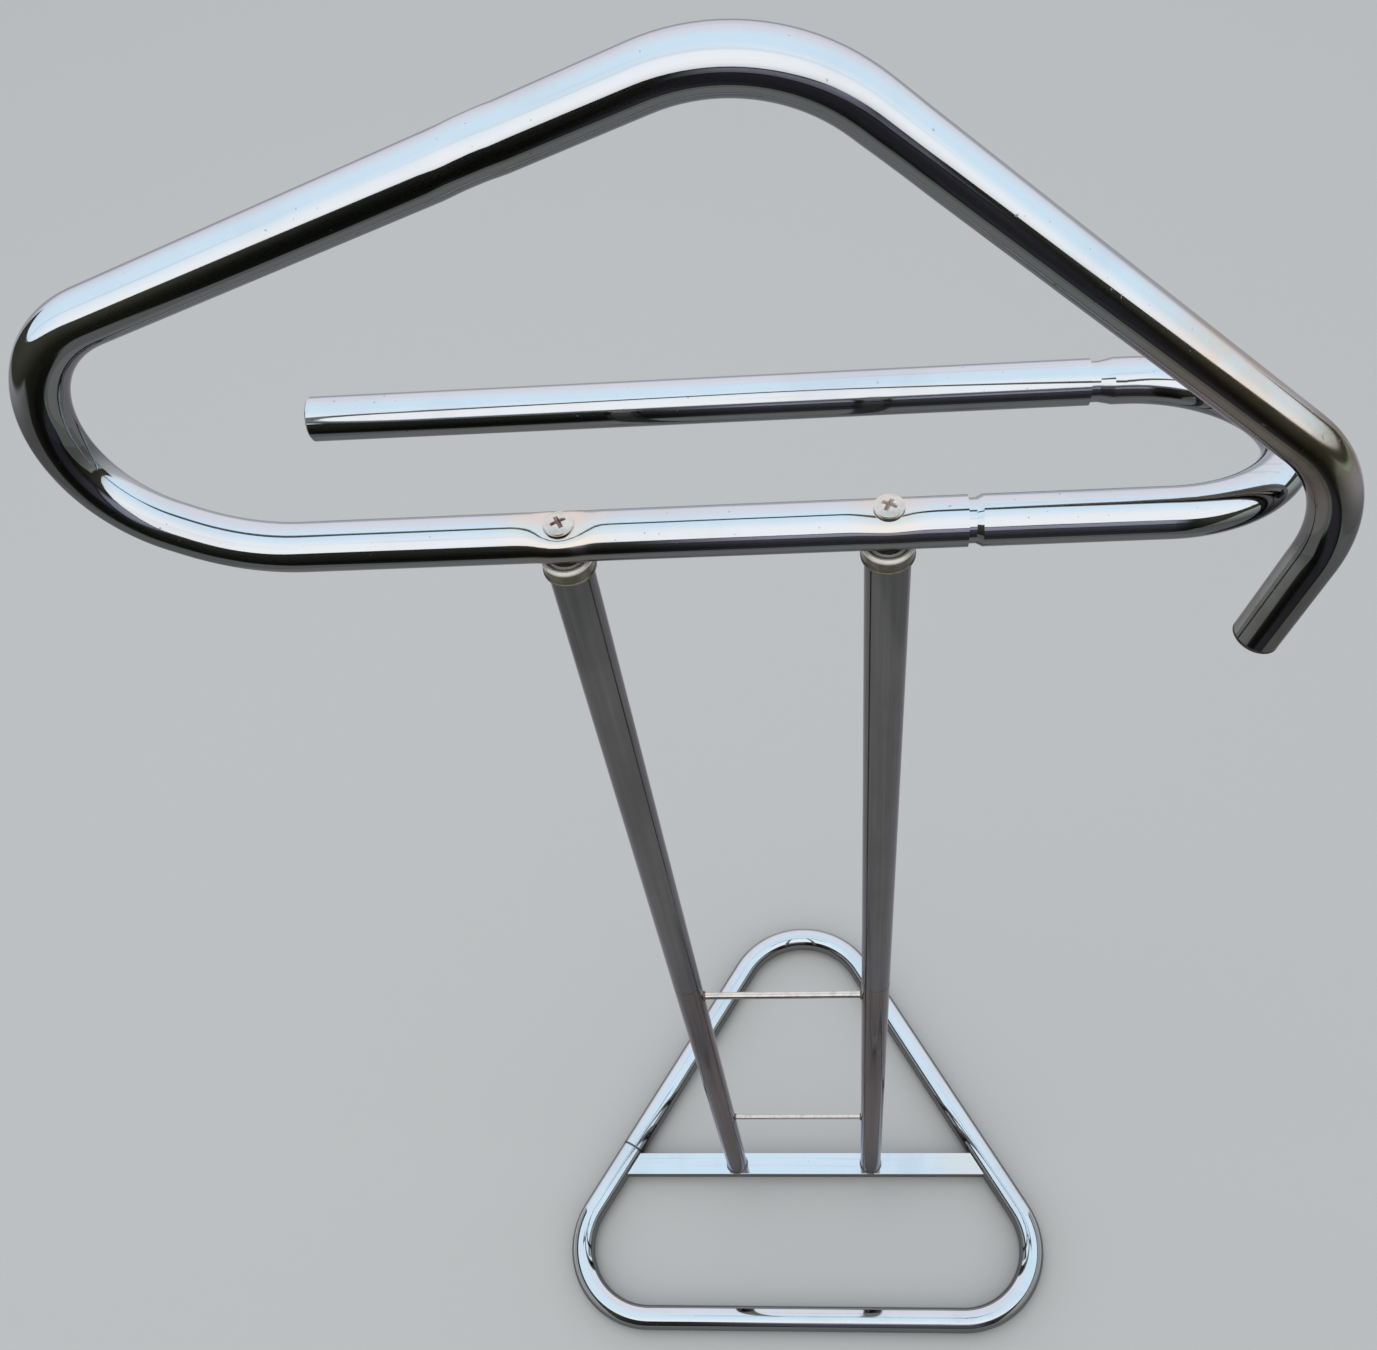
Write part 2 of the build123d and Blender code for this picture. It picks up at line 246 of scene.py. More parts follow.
class StudioSettings(bpy.types.PropertyGroup):
    """Camera, floor and light."""

    eye: FloatVectorProperty(
        name="Camera place", description="Where the camera stands", unit="LENGTH", subtype="XYZ",
        size=3, default=(0.04283, -0.35835, 1.3336))
    gaze: FloatVectorProperty(
        name="Camera turn", description="Camera angles about X, Y and Z", subtype="EULER", unit="ROTATION",
        size=3, default=(math.radians(30.112), math.radians(4.928), math.radians(1.349)))
    lens: FloatProperty(
        name="Focal length", description="Focal length on a 36 mm sensor, in millimetres",
        unit="CAMERA", min=10, max=200, default=35.828)
    shift: FloatVectorProperty(
        name="Lens shift", description="Sideways and upward shift of the lens", size=2,
        default=(-0.02404, 0.09105))
    screen_height: FloatProperty(
        name="Screen height", description="Height of the dark screen's top", unit="LENGTH",
        subtype="DISTANCE", min=0.2, max=3, default=1.38)
    screen_fall: FloatProperty(
        name="Screen fall", description="How fast the screen's top falls away at the stand's sides",
        min=0, max=3, default=0.35)
    floor: FloatVectorProperty(
        name="Floor colour", description="Colour of the plain floor", subtype="COLOR",
        size=3, min=0, max=1, default=(0.57, 0.54, 0.515))
    room_light: FloatProperty(
        name="Room light", description="Strength of the soft light from all round",
        min=0, max=2, default=0.95)
    lamp: FloatProperty(
        name="Lamp power", description="Power of the broad lamp overhead", unit="POWER", min=0, max=500,
        default=14.0)


SETTINGS = {
    "valet_tubes": TubeSettings,
    "valet_plating": PlatingSettings,
    "valet_screws": ScrewSettings,
    "valet_welds": WeldSettings,
    "valet_studio": StudioSettings,
}


# ---------------------------------------------------------------- shader writing


class Value:
    """A number, colour or vector somewhere in a surface's nodes; arithmetic on it adds Math nodes."""

    def __init__(self, surface, socket):
        self.surface = surface
        self.socket = socket

    def maths(self, operation, first, second):
        return self.surface.node("ShaderNodeMath", {"operation": operation}, {0: first, 1: second})

    def __add__(self, other):
        return self.maths("ADD", self, other)

    def __radd__(self, other):
        return self.maths("ADD", other, self)

    def __sub__(self, other):
        return self.maths("SUBTRACT", self, other)

    def __rsub__(self, other):
        return self.maths("SUBTRACT", other, self)

    def __mul__(self, other):
        return self.maths("MULTIPLY", self, other)

    def __rmul__(self, other):
        return self.maths("MULTIPLY", other, self)

    def __pow__(self, other):
        return self.maths("POWER", self, other)

    def __or__(self, other):
        return self.maths("MAXIMUM", self, other)


class Surface:
    """A material, or the world, being written one node at a time."""

    def __init__(self, name, owner=None, place="Object"):
        self.owner = owner or bpy.data.materials.new(name)
        self.owner.use_nodes = True
        self.nodes = self.owner.node_tree.nodes
        self.links = self.owner.node_tree.links
        self.nodes.clear()
        self.place = self.node("ShaderNodeTexCoord", out=place)

    def node(self, kind, settings=None, sockets=None, out=0):
        """Add a node with its settings and the values or links of its sockets."""
        new = self.nodes.new(kind)
        for key, value in (settings or {}).items():
            setattr(new, key, value)
        for key, value in (sockets or {}).items():
            if isinstance(value, Value):
                self.links.new(value.socket, new.inputs[key])
            else:
                new.inputs[key].default_value = value
        return Value(self, new.outputs[out]) if new.outputs else None

    def parts_of(self, vector):
        """The three numbers of a vector."""
        first = self.node("ShaderNodeSeparateXYZ", None, {0: vector})
        return [Value(self, output) for output in first.socket.node.outputs]

    def stretched(self, scale, where=None):
        return self.node("ShaderNodeMapping", None, {"Vector": where or self.place, "Scale": scale})

    def noise(self, scale, detail=3.0, roughness=0.5, where=None):
        return self.node(
            "ShaderNodeTexNoise", {"noise_dimensions": "3D"},
            {"Vector": where or self.place, "Scale": scale, "Detail": detail, "Roughness": roughness})

    def step(self, value, low, high, start=0.0, end=1.0):
        """Carry a value smoothly from start to end as it goes from low to high."""
        return self.node(
            "ShaderNodeMapRange", {"interpolation_type": "SMOOTHSTEP"},
            {"Value": value, "From Min": low, "From Max": high, "To Min": start, "To Max": end})

    def near(self, point, reach):
        """1 close to a point, falling to 0 at its reach."""
        away = self.node(
            "ShaderNodeVectorMath", {"operation": "DISTANCE"}, {0: self.place, 1: point}, "Value")
        return self.step(away, reach * 0.35, reach, 1.0, 0.0)

    def size(self, value):
        """The value without its sign."""
        return self.node("ShaderNodeMath", {"operation": "ABSOLUTE"}, {0: value})

    def blend(self, factor, first, second, how="MIX"):
        """Mix two colours; a plain one is given as three numbers."""
        first, second = ((*c, 1) if isinstance(c, tuple) else c for c in (first, second))
        settings = {"data_type": "RGBA", "blend_type": how}
        return self.node("ShaderNodeMix", settings, {0: factor, 6: first, 7: second}, 2)

    def bump(self, height, distance):
        sockets = {"Height": height, "Strength": 1.0, "Distance": distance}
        return self.node("ShaderNodeBump", None, sockets)

    def finish(self, **sockets):
        """Close the material with its shader, whose sockets are named with _ for a space."""
        named = {key.replace("_", " "): value for key, value in sockets.items()}
        shader = self.node("ShaderNodeBsdfPrincipled", None, named)
        self.node("ShaderNodeOutputMaterial", None, {"Surface": shader})
        return self.owner


def shaded(colour, factor):
    """A colour made darker or lighter."""
    return tuple(channel * factor for channel in colour)


# ---------------------------------------------------------------- finishes


def downward(s, low=0.12, high=0.52):
    """1 where the surface turns away from the light overhead, 0 on top."""
    facing = s.node("ShaderNodeNewGeometry", out="Normal")
    return s.step(s.parts_of(facing)[2], low, high, 1.0, 0.0)


def bright_chrome(
        name, plating, run=None, scale=(500, 500, 5), seam=None, joint=None, under=(0.12, 0.52),
        tints_and_highlights=()):
    """Bright chrome with drawing lines along the tube, a cloudy haze, fine specks and painted shade where
    the tube faces down.

    run names the attribute that follows the tube, seam is the weld line's place round it, joint the
    length at which the tube meets itself, and tints_and_highlights lists (point, reach, colour,
    strength) of tinted patches, some of them painted highlights.
    """
    s = Surface(name)
    tint = tuple(plating.chrome)
    along = s.node("ShaderNodeAttribute", {"attribute_name": run}, out="Vector") if run else s.place
    lines = s.step(s.noise(1, 2, 0.6, s.stretched(scale, along)), 0.56, 0.74)
    haze = s.step(s.noise(16, 4, 0.62), 0.46, 0.74)
    specks = s.step(s.noise(520, 1, 0.4), 0.76, 0.80)
    colour = s.blend(haze * 0.5, tint, shaded(tint, 0.84))
    colour = s.blend(lines * 0.35, colour, (0.55, 0.60, 0.67))
    colour = s.blend(specks * 0.45, colour, (0.24, 0.22, 0.19))
    rough = plating.polish + haze * 0.05 + lines * 0.04 + specks * 0.3
    # each patch tints the colour; the cream ones round the hanger's screws are painted highlights
    for point, reach, blotch, strength in tints_and_highlights:
        patch = s.near(point, reach) * s.step(s.noise(70, 4, 0.6), 0.30, 0.62, 0.55, 1.0) * strength
        colour = s.blend(patch, colour, blotch)
        rough = rough + patch * 0.06
    # painted shade: the colour is darkened where the tube faces down
    colour = s.blend(downward(s, *under), colour, tuple(plating.underside_shade), "MULTIPLY")
    height = s.noise(22, 1, 0.4) * 0.6 + lines * 0.02
    if seam:
        x, y, _ = s.parts_of(along)
        away = ((x - seam[0]) ** 2 + (y - seam[1]) ** 2) ** 0.5
        weld = s.step(away, 0.00010, 0.00040, 1.0, 0.0)
        colour = s.blend(weld * 0.42, colour, (0.10, 0.13, 0.19))
        rough = rough + weld * 0.15
    if joint:
        length = s.parts_of(along)[2]
        end = s.step(length, 0.0004, 0.0014, 1.0, 0.0) | s.step(length, joint - 0.0014, joint - 0.0004)
        colour = s.blend(end * 0.85, colour, (0.07, 0.06, 0.05))
        rough = rough + end * 0.3
    return s.finish(
        Base_Color=colour, Metallic=1.0, Roughness=rough, Specular_Tint=(*plating.edge, 1),
        Normal=s.bump(height, 0.00022))


def post_plating(name, plating):
    """Darker plate with long streaks, cloudy blotches, a painted reflection as a thin dark line down the
    right post's front, and rust at rungs and joint.
    """
    s = Surface(name)
    upper, lower = tuple(plating.post), tuple(plating.post_foot)
    x, y, z = s.parts_of(s.place)
    streaks = s.step(s.noise(1, 3, 0.62, s.stretched((620, 620, 7))), 0.36, 0.70)
    fine = s.noise(1, 2, 0.5, s.stretched((2200, 2200, 14)))
    clouds = s.step(s.noise(24, 4, 0.6, s.stretched((1, 1, 0.35))), 0.42, 0.68)
    low_down = s.step(z + (s.noise(30, 2) - 0.5) * 0.05, POST_SEAM - 0.02, POST_SEAM + 0.02, 1.0, 0.0)
    colour = s.blend(low_down, upper, lower)
    colour = s.blend(streaks * 0.5, colour, s.blend(low_down, shaded(upper, 1.4), (0.27, 0.235, 0.205)))
    colour = s.blend(clouds * 0.4, colour, s.blend(low_down, shaded(upper, 0.65), shaded(lower, 0.65)))
    # painted reflection: the mask below draws a thin dark line down the front of the right post
    away = s.size(x - (POST_X - POST_RADIUS * 0.72))
    weld = s.step(away, 0.00010, 0.00036, 1.0, 0.0) * s.step(y, -0.001, 0.001, 1.0, 0.0)
    colour = s.blend(weld * 0.8, colour, (0.012, 0.012, 0.012))
    rust = s.step(s.size(z - POST_SEAM), 0.0006, 0.0035, 0.6, 0.0)
    for height in RUNG_HEIGHTS:
        for side in (-1, 1):
            rust = rust | s.near((side * (POST_X - POST_RADIUS), 0, height), 0.009)
    spots = s.step(s.noise(300, 3, 0.65), 0.48, 0.64)
    rust = rust * spots
    colour = s.blend(rust * 0.9, colour, tuple(plating.rust))
    rough = 0.08 + streaks * 0.06 + clouds * 0.06 + rust * 0.4
    height = fine * 0.05 + s.noise(18, 1, 0.4) * 0.5
    return s.finish(
        Base_Color=colour, Metallic=1.0, Roughness=rough, Specular_Tint=(*plating.edge, 1),
        Normal=s.bump(height, 0.0002))


def rung_nickel(name, plating):
    """Warm, dulled plate of the rungs, with faint grime, scattered rust and painted shade where they face
    down.
    """
    s = Surface(name)
    tint = shaded(plating.nickel, 1.38)
    haze = s.step(s.noise(120, 4, 0.6), 0.40, 0.70)
    blotch = s.step(s.noise(60, 3, 0.6), 0.50, 0.72)
    rust = s.step(s.noise(700, 4, 0.65), 0.60, 0.70)
    colour = s.blend(haze * 0.5, tint, shaded(tint, 0.72))
    colour = s.blend(blotch * 0.2, colour, (0.30, 0.24, 0.18))
    colour = s.blend(rust * 0.4, colour, tuple(plating.rust))
    # painted shade: the colour is darkened where the rung faces down
    colour = s.blend(downward(s), colour, tuple(plating.underside_shade), "MULTIPLY")
    rough = 0.09 + haze * 0.08 + rust * 0.2
    return s.finish(
        Base_Color=colour, Metallic=1.0, Roughness=rough, Normal=s.bump(s.noise(500, 3), 0.00006))


def cap_metal(name, plating):
    """Turned cap: pale dull rings on top with painted shade in the groove, and an olive-brown skirt."""
    s = Surface(name)
    tint = tuple(plating.nickel)
    x, y, z = s.parts_of(s.place)
    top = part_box("left_post_cap")[1].z
    radius = ((s.size(x) - POST_X) ** 2 + y ** 2) ** 0.5
    groove = s.step(radius, 0.0080, 0.0084) * s.step(radius, 0.0090, 0.0094, 1.0, 0.0)
    turned = s.noise(1, 2, 0.5, s.node("ShaderNodeCombineXYZ", None, {0: radius * 6000.0, 1: z * 2500.0}))
    haze = s.step(s.noise(160, 4, 0.6), 0.40, 0.70)
    colour = s.blend(haze * 0.4 + turned * 0.3, shaded(tint, 1.2), shaded(tint, 0.9))
    # painted shade: the groove between the rings is darkened
    colour = s.blend(groove * 0.8, colour, (0.10, 0.085, 0.065))
    skirt = s.step(z, top - 0.0022, top - 0.0012, 1.0, 0.0)
    colour = s.blend(skirt, colour, s.blend(haze, (0.205, 0.185, 0.145), (0.150, 0.132, 0.100)))
    rough = 0.24 + haze * 0.12 + groove * 0.2
    return s.finish(
        Base_Color=colour, Metallic=s.step(skirt, 0.0, 1.0, 0.35, 0.9), Roughness=rough,
        Normal=s.bump(turned, 0.00006))


def dome_ball(crown):
    """Radius of the ball that a screw head's dome is a cap of."""
    return (SCREW_RADIUS ** 2 + crown ** 2) / (2 * crown)


def screw_metal(name, plating, crown, shape, rustiness):
    """Worn pan head: pale dull plate, rust in the recess and a painted shadow where the head meets the
    tube.
    """
    s = Surface(name)
    tint = tuple(plating.nickel)
    x, y, z = s.parts_of(s.place)
    radius = ((x - crown.x) ** 2 + (y - crown.y) ** 2) ** 0.5
    sunk = crown.z - z - radius ** 2 * (0.5 / dome_ball(shape.crown))
    recess = s.step(sunk, 0.00015, 0.0006) * s.step(radius, 0.0048, 0.0054, 1.0, 0.0)
    haze = s.step(s.noise(260, 4, 0.6), 0.38, 0.66)
    colour = s.blend(haze * 0.45, shaded(tint, 1.32), shaded(tint, 1.02))
    rust = s.blend(s.step(s.noise(700, 3, 0.6), 0.40, 0.62), (0.48, 0.32, 0.26), (0.17, 0.10, 0.075))
    colour = s.blend(recess * rustiness, colour, rust)
    # painted shadow: a dark line round the foot of the head, where it meets the tube
    seat = s.step(z, crown.z - shape.head + 0.0002, crown.z - shape.head + 0.0008, 1.0, 0.0)
    colour = s.blend(seat * 0.9, colour, (0.05, 0.042, 0.038))
    rough = 0.26 + haze * 0.14 + recess * 0.3
    scratch = s.noise(1, 2, 0.5, s.stretched((900, 3000, 900)))
    return s.finish(Base_Color=colour, Metallic=1.0, Roughness=rough, Normal=s.bump(scratch, 0.00005))


def weld_metal(name, plating, rustiness=1.0):
    """Rough weld bead, rusty where its plating has gone."""
    s = Surface(name)
    lumps = s.noise(900, 3, 0.6)
    rust = s.step(s.noise(500, 3, 0.6), 0.40, 0.62) * rustiness
    colour = s.blend(rust, (0.30, 0.27, 0.24), tuple(plating.rust))
    return s.finish(
        Base_Color=colour, Metallic=s.step(rust, 0.0, 1.0, 1.0, 0.4), Roughness=0.35 + rust * 0.3,
        Normal=s.bump(lumps, 0.0002))


def bare_steel(name):
    """Plain drawn tube, unpolished, with a film of oil and fine lines."""
    s = Surface(name)
    lines = s.noise(1, 3, 0.6, s.stretched((900, 900, 20)))
    colour = s.blend(lines, (0.36, 0.36, 0.36), (0.52, 0.51, 0.50))
    return s.finish(
        Base_Color=colour, Metallic=1.0, Roughness=0.30 + lines * 0.15, Normal=s.bump(lines, 0.00005))


def moulded_plug(name):
    """Black moulded plug with a fine grain and dusty scuffs."""
    s = Surface(name)
    dust = s.step(s.noise(90, 4, 0.6), 0.45, 0.75)
    grain = s.noise(1800, 2)
    colour = s.blend(dust * 0.5, (0.018, 0.018, 0.018), (0.10, 0.095, 0.09))
    return s.finish(
        Base_Color=colour, Metallic=0.0, Roughness=0.45 + dust * 0.25, Normal=s.bump(grain, 0.00004))


def dark_cloth(name):
    """Dark cloth of the screen and its mat, with a lilac-grey stretch ahead.

    Its foot is pale like the floor, up to a line that rises at both sides and has a green hem from the
    middle to the right.
    """
    s = Surface(name)
    x, y, z = s.parts_of(s.place)
    past_edge = (y * -1.0 - MAT_FRONT) | 0.0
    foot = z + past_edge - s.step(s.size(x), 0.45, 1.20, 0.0, 0.62)
    ahead = s.step(x, -0.30, -0.02) * s.step(x, 0.45, 0.80, 1.0, 0.0)
    folds = s.step(s.noise(1, 2, 0.5, s.stretched((1.5, 1.5, 5))), 0.42, 0.60)
    colour = s.blend(folds * 0.5, (0.012, 0.012, 0.007), (0.032, 0.029, 0.019))
    colour = s.blend(s.step(s.size(x), 0.70, 1.05) * 0.8, colour, (0.055, 0.052, 0.030))
    pale = s.step(z, 0.90, 0.98) * s.step(z, 1.30, 1.33, 1.0, 0.0)
    colour = s.blend(ahead * pale, colour, (0.36, 0.34, 0.40))
    dim = s.step(z, 0.82, 0.90, 1.0, 0.0)
    colour = s.blend(ahead * dim * 0.8, colour, (0.105, 0.095, 0.120))
    colour = s.blend(s.step(foot, 0.02, 0.12, 1.0, 0.0), colour, (0.42, 0.40, 0.38))
    hem = s.step(foot, 0.06, 0.08) * s.step(foot, 0.16, 0.18, 1.0, 0.0) * s.step(x, -0.45, -0.10)
    colour = s.blend(hem * 0.8, colour, (0.50, 0.62, 0.46))
    return s.finish(Base_Color=colour, Roughness=1.0)


def soft_room(name, strength):
    """Soft light from all round: white in front, pale blue overhead, lilac grey behind, grey below."""
    s = Surface(name, bpy.data.worlds.new(name), "Generated")
    _, y, z = s.parts_of(s.place)
    sky = s.blend(s.step(y, -0.75, -0.05), (1.0, 1.0, 1.0), (0.73, 0.89, 1.0))
    sky = s.blend(s.step(y, 0.15, 0.95), sky, (0.80, 0.79, 0.84))
    sky = s.blend(s.step(z, -0.05, 0.12, 1.0, 0.0), sky, (0.53, 0.56, 0.58))
    light = s.node("ShaderNodeBackground", None, {"Color": sky, "Strength": strength})
    s.node("ShaderNodeOutputWorld", None, {"Surface": light})
    return s.owner


def assign(node, material):
    """Give a CAD node one material."""
    slots = NODES[node].data.materials
    slots.clear()
    slots.append(material)


# ---------------------------------------------------------------- modelling helpers


def only(thing):
    """Select and activate one object alone."""
    bpy.ops.object.select_all(action="DESELECT")
    thing.select_set(True)
    bpy.context.view_layer.objects.active = thing


def named(thing, name):
    """Name an object and its mesh alike."""
    thing.name = name
    thing.data.name = name
    return thing


def settle(thing):
    """Put the object's place into its mesh."""
    only(thing)
    bpy.ops.object.transform_apply(location=True, rotation=True, scale=True)


def modify(thing, kind, **settings):
    """Add a modifier and apply it."""
    only(thing)
    modifier = thing.modifiers.new(kind.lower(), kind)
    for key, value in settings.items():
        setattr(modifier, key, value)
    bpy.ops.object.modifier_apply(modifier=modifier.name)


def pick(thing, kind, wanted):
    """Select, in edit mode, the verts, edges or faces that pass a test."""
    mesh = bmesh.from_edit_mesh(thing.data)
    for element in getattr(mesh, kind):
        element.select_set(wanted(element))
    if kind == "verts":
        mesh.select_flush(True)
    bmesh.update_edit_mesh(thing.data)


def smooth(thing, angle):
    """Shade smooth, apart from edges sharper than an angle in degrees."""
    only(thing)
    bpy.ops.object.shade_smooth_by_angle(angle=math.radians(angle))


def copy_to(master, name, place, turn=0.0):
    """Copy a piece that was modelled at the origin, mesh and all, and set the copy in its place."""
    only(master)
    bpy.ops.object.duplicate(linked=False)
    copy = named(bpy.context.object, name)
    copy.location = place
    copy.rotation_euler = (0, 0, turn)
    settle(copy)
    return copy


def ready(thing, node, material):
    """Give a finished piece its material and its body, and hide the frame's node, if one is named."""
    thing.data.materials.clear()
    thing.data.materials.append(material)
    if node:
        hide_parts(node)
    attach(thing, "root")


def pull_straight(start, end, pace):
    """Extrude the selected ring from start to end, a ring at every pace."""
    count = max(1, math.ceil((end - start).length / pace))
    for _ in range(count):
        bpy.ops.mesh.extrude_region_move(TRANSFORM_OT_translate={"value": (end - start) / count})


def bend_tube(name, corners, bends, radius, sides, pace):
    """Carry a ring along a flat route: extrude its straight runs and spin its bends."""
    bpy.ops.object.select_all(action="DESELECT")
    facing = (corners[1] - corners[0]).to_track_quat("Z", "Y").to_euler()
    bpy.ops.mesh.primitive_circle_add(
        vertices=sides, radius=radius, location=corners[0], rotation=facing)
    tube = named(bpy.context.object, name)
    settle(tube)
    bpy.ops.object.mode_set(mode="EDIT")
    bpy.ops.mesh.select_all(action="SELECT")
    here = corners[0]
    for before, corner, after, bend in zip(corners, corners[1:], corners[2:], bends):
        heading, leaving = (corner - before).normalized(), (after - corner).normalized()
        turn = heading.angle(leaving)
        axis = heading.cross(leaving).normalized()
        reach = bend * math.tan(turn / 2)
        pull_straight(here, corner - heading * reach, pace)
        # spin turns left-handed about its axis
        bpy.ops.mesh.spin(
            steps=math.ceil(math.degrees(turn) / BEND_STEP), angle=-turn, axis=axis,
            center=corner - heading * reach + axis.cross(heading) * bend)
        here = corner + leaving * reach
    pull_straight(here, corners[-1], pace)
    bpy.ops.mesh.select_all(action="SELECT")
    bpy.ops.mesh.normals_make_consistent(inside=False)
    bpy.ops.object.mode_set(mode="OBJECT")
    return tube


def mark_length(tube, sides, up):
    """Store on each point its place round the tube and along it, and return the tube's length."""
    points = [v.co.copy() for v in tube.data.vertices]
    rings = [points[i:i + sides] for i in range(0, len(points), sides)]
    centres = [sum(ring, Vector()) / sides for ring in rings]
    marks, along = [], 0.0
    for index, ring in enumerate(rings):
        ahead = centres[min(index + 1, len(rings) - 1)] - centres[max(index - 1, 0)]
        across = ahead.normalized().cross(up)
        along += (centres[index] - centres[max(index - 1, 0)]).length
        for point in ring:
            arm = point - centres[index]
            marks += [arm.dot(up), arm.dot(across), along]
    attribute = tube.data.attributes.new("tube_place", "FLOAT_VECTOR", "POINT")
    attribute.data.foreach_set("vector", marks)
    return along


# ---------------------------------------------------------------- pieces


class VALET_OT_bend_hanger(bpy.types.Operator):
    """Bend the hanger tube, press its wall in under the two screws and chrome it"""

    bl_idname = "valet.bend_hanger"
    bl_label = "Bend the hanger"

    def execute(self, context):
        tubes, plating = context.scene.valet_tubes, context.scene.valet_plating
        hanger = bend_tube(
            "hanger", HANGER_CORNERS, HANGER_BENDS, TUBE_RADIUS, tubes.sides, pace=0.003)
        socket, lower_left, _, peak, _, end = HANGER_CORNERS
        up = (lower_left - socket).cross(peak - socket).normalized()
        mark_length(hanger, tubes.sides, up)
        for side, depth in ((-1, tubes.left_dent), (1, tubes.right_dent)):
            self.press_wall(hanger, side * POST_X, depth, tubes.dent_reach)
        modify(hanger, "SOLIDIFY", thickness=tubes.wall, offset=-1)
        for side in (-1, 1):
            self.drill(hanger, side * POST_X)
        smooth(hanger, 50)
        seam = (TUBE_RADIUS * math.cos(WELD_SEAM_ANGLE), TUBE_RADIUS * math.sin(WELD_SEAM_ANGLE))
        cream, copper = (0.96, 0.86, 0.77), (0.88, 0.74, 0.64)
        bronze, olive = (0.50, 0.42, 0.33), (0.62, 0.60, 0.56)
        right_arm = (0.190, 0.005, BAR_CREST + 0.038)
        right_shoulder = (0.219, 0.006, BAR_CREST + 0.020)
        # the cream patches round the two screws are a painted highlight in their dents; copper, bronze and
        # olive tint the arm, shoulder and end
        tints_and_highlights = [
            ((-POST_X, 0, BAR_CREST), 0.028, cream, 1.0),
            ((POST_X, 0, BAR_CREST), 0.020, cream, 0.9),
            (right_arm, 0.080, copper, 0.95),
            (right_shoulder, 0.026, bronze, 1.0),
            (end, 0.075, olive, 0.8),
        ]
        chrome = bright_chrome("hanger_chrome", plating, run="tube_place", seam=seam, tints_and_highlights=tints_and_highlights)
        ready(hanger, "hanger_tube", chrome)
        return {"FINISHED"}

    @staticmethod
    def press_wall(hanger, x, depth, reach):
        """Push the crest of the bar down in three strokes, each shorter, and let its sides bulge."""
        crest_foot, crest_half_width = BAR_HEIGHT + TUBE_RADIUS * 0.6, TUBE_RADIUS * 0.28
        bar_foot, bar_half_width = BAR_HEIGHT - TUBE_RADIUS * 1.1, TUBE_RADIUS * 1.5
        bulge = 1 + depth * DENT_BULGE
        soft = {
            "use_proportional_edit": True,
            "proportional_edit_falloff": "SMOOTH",
            "proportional_size": TUBE_RADIUS * 0.95,
        }
        only(hanger)
        bpy.ops.object.mode_set(mode="EDIT")
        for length, share in DENT_STROKES:
            pick(hanger, "verts", lambda vert: (
                vert.co.z > crest_foot and abs(vert.co.y) < crest_half_width
                and abs(vert.co.x - x) < reach * length))
            bpy.ops.transform.translate(value=(0, 0, -depth * share), **soft)
        pick(hanger, "verts", lambda vert: (
            vert.co.z > bar_foot and abs(vert.co.y) < bar_half_width
            and abs(vert.co.x - x) < reach * 0.4))
        bpy.ops.transform.resize(value=(1, bulge, 1), center_override=(x, 0, BAR_HEIGHT), **soft)
        bpy.ops.object.mode_set(mode="OBJECT")

    @staticmethod
    def drill(hanger, x):
        """Bore the bar for a screw, through both walls."""
        bpy.ops.object.select_all(action="DESELECT")
        bpy.ops.mesh.primitive_cylinder_add(
            vertices=32, radius=SCREW_HOLE_RADIUS, depth=TUBE_RADIUS * 3, location=(x, 0, BAR_HEIGHT))
        bit = bpy.context.object
        settle(bit)
        modify(hanger, "BOOLEAN", object=bit, operation="DIFFERENCE", solver="EXACT")
        bpy.data.objects.remove(bit)


class VALET_OT_bend_base(bpy.types.Operator):
    """Bend the floor loop, leave its seam beside the crossbar and chrome it"""

    bl_idname = "valet.bend_base"
    bl_label = "Bend the floor loop"

    def execute(self, context):
        tubes, plating = context.scene.valet_tubes, context.scene.valet_plating
        left = Vector((-LOOP_HALF_WIDTH, BASE_FRONT, LOOP_RADIUS))
        right = Vector((LOOP_HALF_WIDTH, left.y, left.z))
        rear = Vector((0, left.y + LOOP_DEPTH, left.z))
        leg = (rear - left).normalized()
        seam = left + leg * ((LOOP_SEAM_Y - left.y) / leg.y)
        route = [seam - leg * LOOP_SEAM_GAP / 2, left, right, rear, seam + leg * LOOP_SEAM_GAP / 2]
        loop = bend_tube("floor_loop", route, LOOP_BENDS, LOOP_RADIUS, tubes.sides, pace=0.02)
        length = mark_length(loop, tubes.sides, Vector((0, 0, 1)))
        modify(loop, "SOLIDIFY", thickness=tubes.wall, offset=-1)
        smooth(loop, 50)
        chrome = bright_chrome("base_chrome", plating, run="tube_place", joint=length, under=(0.58, 0.78))
        ready(loop, "base_loop", chrome)
        return {"FINISHED"}


class VALET_OT_plate_bars(bpy.types.Operator):
    """Chrome the trouser bar, its bend, its end plug and the crossbar"""

    bl_idname = "valet.plate_bars"
    bl_label = "Plate the bars"

    def execute(self, context):
        plating = context.scene.valet_plating
        assign("trouser_bar", bright_chrome("bar_chrome", plating, scale=(5, 500, 500)))
        assign("trouser_bend", bright_chrome("bend_chrome", plating, scale=(8, 500, 500)))
        assign("trouser_bar_end_plug", bright_chrome("plug_chrome", plating, scale=(300, 300, 300)))
        right_end, cream = (0.155, 0.01, CROSSBAR_TOP), (0.95, 0.86, 0.78)
        assign("crossbar", bright_chrome(
            "crossbar_chrome", plating, scale=(6, 300, 300), under=(0.3, 0.8),
            tints_and_highlights=[(right_end, 0.045, cream, 0.8)]))
        return {"FINISHED"}


